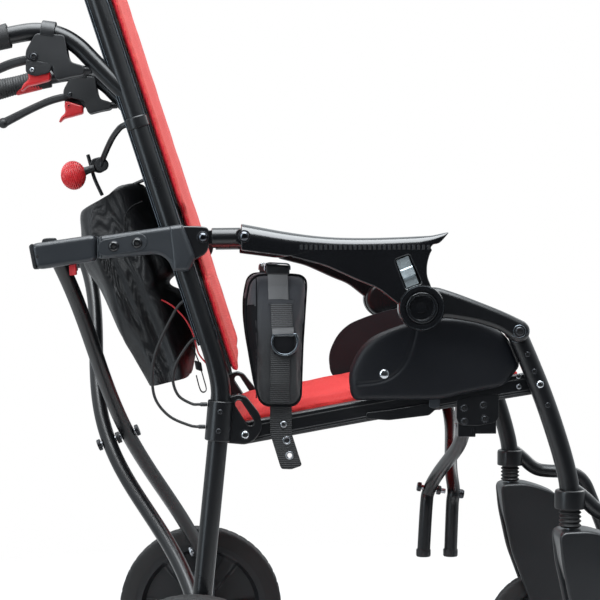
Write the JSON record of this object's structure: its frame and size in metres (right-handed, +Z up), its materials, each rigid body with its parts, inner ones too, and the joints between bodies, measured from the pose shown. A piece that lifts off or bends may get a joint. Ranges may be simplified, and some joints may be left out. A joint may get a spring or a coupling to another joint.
{
  "type": "special needs stroller",
  "caption": "Folding special needs stroller with sling seat, padded back, flip-up armrests, hip pads, push handles, sprung casters and a scissor-folding tube frame.",
  "frame": {"origin": "on the floor, below the middle of the stroller's bounding box", "axes": "+X points forward, the way the occupant faces, +Y to the occupant's left and +Z up"},
  "size_m": [1.0721, 0.55, 1.1187],
  "materials": {
    "satin_black_frame": "satin black powder coat",
    "cast_grey": "satin slate-grey casting",
    "gloss_black": "glossy black moulding",
    "black_plastic": "fine-grained black moulding",
    "red_fabric": "woven red upholstery",
    "red_plastic": "satin red moulding",
    "black_fabric": "black woven nylon",
    "grey_neoprene": "dark grey padded fabric with webbing",
    "bare_aluminium": "satin bare aluminium",
    "zinc_steel": "zinc-plated steel",
    "black_rubber": "matte black rubber",
    "black_tyre": "matte black tyre on a black rim"
  },
  "bodies": {
    "rear_frame_right": {"rear_frame_right": "satin_black_frame", "seat_plate_right": "satin_black_frame", "axle_block_right": "cast_grey", "handle_right": "satin_black_frame", "grip_right": "black_rubber", "lever_stay": "satin_black_frame", "rear_bag": "black_fabric", "back_pad": "red_fabric", "recline_cable": "black_rubber", "brake_cable": "black_rubber"},
    "cross_rear": {"cross_tube_rear": "satin_black_frame", "cross_bolt": "zinc_steel"},
    "cross_front": {"cross_tube_front": "satin_black_frame"},
    "rear_frame_left": {"rear_frame_left": "satin_black_frame", "seat_plate_left": "satin_black_frame", "axle_block_left": "cast_grey", "handle_left": "satin_black_frame", "grip_left": "black_rubber"},
    "rear_wheel_right": {"rear_wheel_right": "black_tyre"},
    "brake_lever_right": {"brake_lever_right": "satin_black_frame"},
    "lock_trigger_right": {"lock_trigger_right": "red_plastic"},
    "runner_right": {"runner_right": "cast_grey", "outrigger_right": "satin_black_frame"},
    "arm_tube_right": {"arm_tube_right": "satin_black_frame"},
    "armrest_right": {"armrest_right": "gloss_black", "hub_cap_right": "gloss_black"},
    "armrest_latch_right": {"armrest_latch_right": "bare_aluminium"},
    "seat_rail_right": {"seat_rail_right": "satin_black_frame", "side_guard_right": "black_fabric", "seat_pad": "red_fabric"},
    "front_leg_right": {"front_leg_right": "satin_black_frame"},
    "front_arm_right": {"front_arm_right": "satin_black_frame"},
    "brace_right": {"brace_right": "satin_black_frame", "brace_bolt": "zinc_steel"},
    "hip_pad_right": {"hip_pad_right": "grey_neoprene"},
    "caster_post_right": {"caster_post_right": "black_rubber"},
    "caster_fork_right": {"caster_fork_right": "cast_grey"},
    "caster_wheel_right": {"caster_wheel_right": "black_tyre"},
    "footplate_right": {"footplate_right": "black_plastic"},
    "rear_wheel_left": {"rear_wheel_left": "black_tyre"},
    "brake_lever_left": {"brake_lever_left": "satin_black_frame"},
    "lock_trigger_left": {"lock_trigger_left": "red_plastic"},
    "runner_left": {"runner_left": "cast_grey", "outrigger_left": "satin_black_frame"},
    "arm_tube_left": {"arm_tube_left": "satin_black_frame"},
    "armrest_left": {"armrest_left": "gloss_black", "hub_cap_left": "gloss_black"},
    "armrest_latch_left": {"armrest_latch_left": "bare_aluminium"},
    "seat_rail_left": {"seat_rail_left": "satin_black_frame", "side_guard_left": "black_fabric"},
    "front_leg_left": {"front_leg_left": "satin_black_frame"},
    "front_arm_left": {"front_arm_left": "satin_black_frame"},
    "brace_left": {"brace_left": "satin_black_frame"},
    "hip_pad_left": {"hip_pad_left": "grey_neoprene"},
    "caster_post_left": {"caster_post_left": "black_rubber"},
    "caster_fork_left": {"caster_fork_left": "cast_grey"},
    "caster_wheel_left": {"caster_wheel_left": "black_tyre"},
    "footplate_left": {"footplate_left": "black_plastic"},
    "recline_lever": {"recline_lever": "red_plastic"}
  },
  "joints": [
    {"name": "fold", "type": "hinge", "parent": "rear_frame_right", "child": "cross_rear", "pos_m": [-0.2159, -0.176, 0.23], "axis": [0.9309, 0, 0.3653], "range_deg": [0, 23.53], "deforming": ["back_pad", "seat_pad", "rear_bag", "side_guard_right", "side_guard_left", "hip_pad_right", "hip_pad_left"]},
    {"name": "fold_crossing", "type": "hinge", "parent": "cross_rear", "child": "cross_front", "pos_m": [-0.31039, 0, 0.42259], "axis": [0.9309, 0, 0.3653], "range_deg": [-47.06, 0]},
    {"name": "fold_left_frame", "type": "hinge", "parent": "cross_front", "child": "rear_frame_left", "pos_m": [-0.2159, 0.176, 0.23], "axis": [0.9309, 0, 0.3653], "range_deg": [0, 23.53]},
    {"name": "rear_wheel_spin_right", "type": "hinge", "parent": "rear_frame_right", "child": "rear_wheel_right", "pos_m": [-0.2152, -0.256, 0.125], "axis": [0, 1, 0], "continuous": true},
    {"name": "brake_squeeze_right", "type": "hinge", "parent": "rear_frame_right", "child": "brake_lever_right", "pos_m": [-0.4099, -0.215, 0.913], "axis": [0, -1, 0], "range_deg": [-13, 0], "stiffness_Nm_per_rad": 1.2, "springref_deg": 20.05},
    {"name": "lock_trigger_swing_right", "type": "hinge", "parent": "rear_frame_right", "child": "lock_trigger_right", "pos_m": [-0.4119, -0.215, 0.8967], "axis": [0, -1, 0], "range_deg": [-12, 0], "stiffness_Nm_per_rad": 0.25, "springref_deg": 17.19},
    {"name": "fold_runner_right", "type": "slide", "parent": "rear_frame_right", "child": "runner_right", "axis": [-0.3099, 0, 0.9508], "range_m": [0, 0.098]},
    {"name": "fold_arm_right", "type": "hinge", "parent": "runner_right", "child": "arm_tube_right", "pos_m": [-0.2022, -0.215, 0.6908], "axis": [0, -1, 0], "range_deg": [0, 8.18]},
    {"name": "armrest_flip_right", "type": "hinge", "parent": "arm_tube_right", "child": "armrest_right", "pos_m": [-0.1511, -0.215, 0.6915], "axis": [0, 1, 0], "range_deg": [-80, 0]},
    {"name": "armrest_release_right", "type": "hinge", "parent": "armrest_right", "child": "armrest_latch_right", "pos_m": [0.0441, -0.255, 0.661], "axis": [0, 1, 0], "range_deg": [-4, 0], "stiffness_Nm_per_rad": 0.2, "springref_deg": 11.46},
    {"name": "fold_rail_right", "type": "hinge", "parent": "rear_frame_right", "child": "seat_rail_right", "pos_m": [-0.1498, -0.215, 0.4441], "axis": [0, -1, 0], "range_deg": [0, 24]},
    {"name": "fold_leg_right", "type": "hinge", "parent": "seat_rail_right", "child": "front_leg_right", "pos_m": [0.2199, -0.215, 0.5066], "axis": [0, -1, 0], "range_deg": [-55.59, 0]},
    {"name": "fold_front_arm_right", "type": "hinge", "parent": "front_leg_right", "child": "front_arm_right", "pos_m": [0.1907, -0.215, 0.574], "axis": [0, -1, 0], "range_deg": [0, 39.77]},
    {"name": "fold_brace_right", "type": "hinge", "parent": "seat_rail_right", "child": "brace_right", "pos_m": [0.1316, -0.18, 0.45], "axis": [-1, 0, 0], "range_deg": [0, 36.46]},
    {"name": "hip_pad_swing_right", "type": "hinge", "parent": "seat_rail_right", "child": "hip_pad_right", "pos_m": [-0.1013, -0.2034, 0.4556], "axis": [0, -1, 0], "range_deg": [-27, 0]},
    {"name": "caster_spring_right", "type": "slide", "parent": "front_leg_right", "child": "caster_post_right", "axis": [0, 0, 1], "range_m": [0, 0.012], "stiffness_N_per_m": 9000, "springref_m": -0.014},
    {"name": "caster_swivel_right", "type": "hinge", "parent": "caster_post_right", "child": "caster_fork_right", "pos_m": [0.2611, -0.215, 0.324], "axis": [0, 0, 1], "continuous": true},
    {"name": "caster_spin_right", "type": "hinge", "parent": "caster_fork_right", "child": "caster_wheel_right", "pos_m": [0.3191, -0.215, 0.092], "axis": [0, 1, 0], "continuous": true},
    {"name": "footplate_flip_right", "type": "hinge", "parent": "front_leg_right", "child": "footplate_right", "pos_m": [0.4281, -0.215, 0.202], "axis": [0, 1, 0], "range_deg": [-75, 0]},
    {"name": "rear_wheel_spin_left", "type": "hinge", "parent": "rear_frame_left", "child": "rear_wheel_left", "pos_m": [-0.2152, 0.256, 0.125], "axis": [0, 1, 0], "continuous": true},
    {"name": "brake_squeeze_left", "type": "hinge", "parent": "rear_frame_left", "child": "brake_lever_left", "pos_m": [-0.4099, 0.215, 0.913], "axis": [0, -1, 0], "range_deg": [-13, 0], "stiffness_Nm_per_rad": 1.2, "springref_deg": 20.05},
    {"name": "lock_trigger_swing_left", "type": "hinge", "parent": "rear_frame_left", "child": "lock_trigger_left", "pos_m": [-0.4119, 0.215, 0.8967], "axis": [0, -1, 0], "range_deg": [-12, 0], "stiffness_Nm_per_rad": 0.25, "springref_deg": 17.19},
    {"name": "fold_runner_left", "type": "slide", "parent": "rear_frame_left", "child": "runner_left", "axis": [-0.3099, 0, 0.9508], "range_m": [0, 0.098]},
    {"name": "fold_arm_left", "type": "hinge", "parent": "runner_left", "child": "arm_tube_left", "pos_m": [-0.2022, 0.215, 0.6908], "axis": [0, -1, 0], "range_deg": [0, 8.18]},
    {"name": "armrest_flip_left", "type": "hinge", "parent": "arm_tube_left", "child": "armrest_left", "pos_m": [-0.1511, 0.215, 0.6915], "axis": [0, 1, 0], "range_deg": [-80, 0]},
    {"name": "armrest_release_left", "type": "hinge", "parent": "armrest_left", "child": "armrest_latch_left", "pos_m": [0.0441, 0.255, 0.661], "axis": [0, 1, 0], "range_deg": [-4, 0], "stiffness_Nm_per_rad": 0.2, "springref_deg": 11.46},
    {"name": "fold_rail_left", "type": "hinge", "parent": "rear_frame_left", "child": "seat_rail_left", "pos_m": [-0.1498, 0.215, 0.4441], "axis": [0, -1, 0], "range_deg": [0, 24]},
    {"name": "fold_leg_left", "type": "hinge", "parent": "seat_rail_left", "child": "front_leg_left", "pos_m": [0.2199, 0.215, 0.5066], "axis": [0, -1, 0], "range_deg": [-55.59, 0]},
    {"name": "fold_front_arm_left", "type": "hinge", "parent": "front_leg_left", "child": "front_arm_left", "pos_m": [0.1907, 0.215, 0.574], "axis": [0, -1, 0], "range_deg": [0, 39.77]},
    {"name": "fold_brace_left", "type": "hinge", "parent": "seat_rail_left", "child": "brace_left", "pos_m": [0.1579, 0.18, 0.45], "axis": [1, 0, 0], "range_deg": [0, 36.46]},
    {"name": "hip_pad_swing_left", "type": "hinge", "parent": "seat_rail_left", "child": "hip_pad_left", "pos_m": [-0.1013, 0.2034, 0.4556], "axis": [0, -1, 0], "range_deg": [-27, 0]},
    {"name": "caster_spring_left", "type": "slide", "parent": "front_leg_left", "child": "caster_post_left", "axis": [0, 0, 1], "range_m": [0, 0.012], "stiffness_N_per_m": 9000, "springref_m": -0.014},
    {"name": "caster_swivel_left", "type": "hinge", "parent": "caster_post_left", "child": "caster_fork_left", "pos_m": [0.2611, 0.215, 0.324], "axis": [0, 0, 1], "continuous": true},
    {"name": "caster_spin_left", "type": "hinge", "parent": "caster_fork_left", "child": "caster_wheel_left", "pos_m": [0.3191, 0.215, 0.092], "axis": [0, 1, 0], "continuous": true},
    {"name": "footplate_flip_left", "type": "hinge", "parent": "front_leg_left", "child": "footplate_left", "pos_m": [0.4281, 0.215, 0.202], "axis": [0, 1, 0], "range_deg": [-75, 0]},
    {"name": "recline_lever_swing", "type": "hinge", "parent": "rear_frame_right", "child": "recline_lever", "pos_m": [-0.3329, -0.15, 0.785], "axis": [0, 1, 0], "range_deg": [-25, 0], "stiffness_Nm_per_rad": 0.5, "springref_deg": 14.32}
  ],
  "couplings": [
    {"joint": "fold_crossing", "follows": "fold", "ratio": -2},
    {"joint": "fold_left_frame", "follows": "fold", "ratio": 1},
    {"joint": "fold_runner_right", "follows": "fold", "m_per_rad": 0.23861},
    {"joint": "fold_arm_right", "follows": "fold", "ratio": 0.34766},
    {"joint": "fold_rail_right", "follows": "fold", "ratio": 1.0199},
    {"joint": "fold_leg_right", "follows": "fold", "ratio": -2.3623},
    {"joint": "fold_front_arm_right", "follows": "fold", "ratio": 1.6901},
    {"joint": "fold_brace_right", "follows": "fold", "ratio": 1.5493},
    {"joint": "fold_runner_left", "follows": "fold", "m_per_rad": 0.23861},
    {"joint": "fold_arm_left", "follows": "fold", "ratio": 0.34766},
    {"joint": "fold_rail_left", "follows": "fold", "ratio": 1.0199},
    {"joint": "fold_leg_left", "follows": "fold", "ratio": -2.3623},
    {"joint": "fold_front_arm_left", "follows": "fold", "ratio": 1.6901},
    {"joint": "fold_brace_left", "follows": "fold", "ratio": 1.5493}
  ]
}
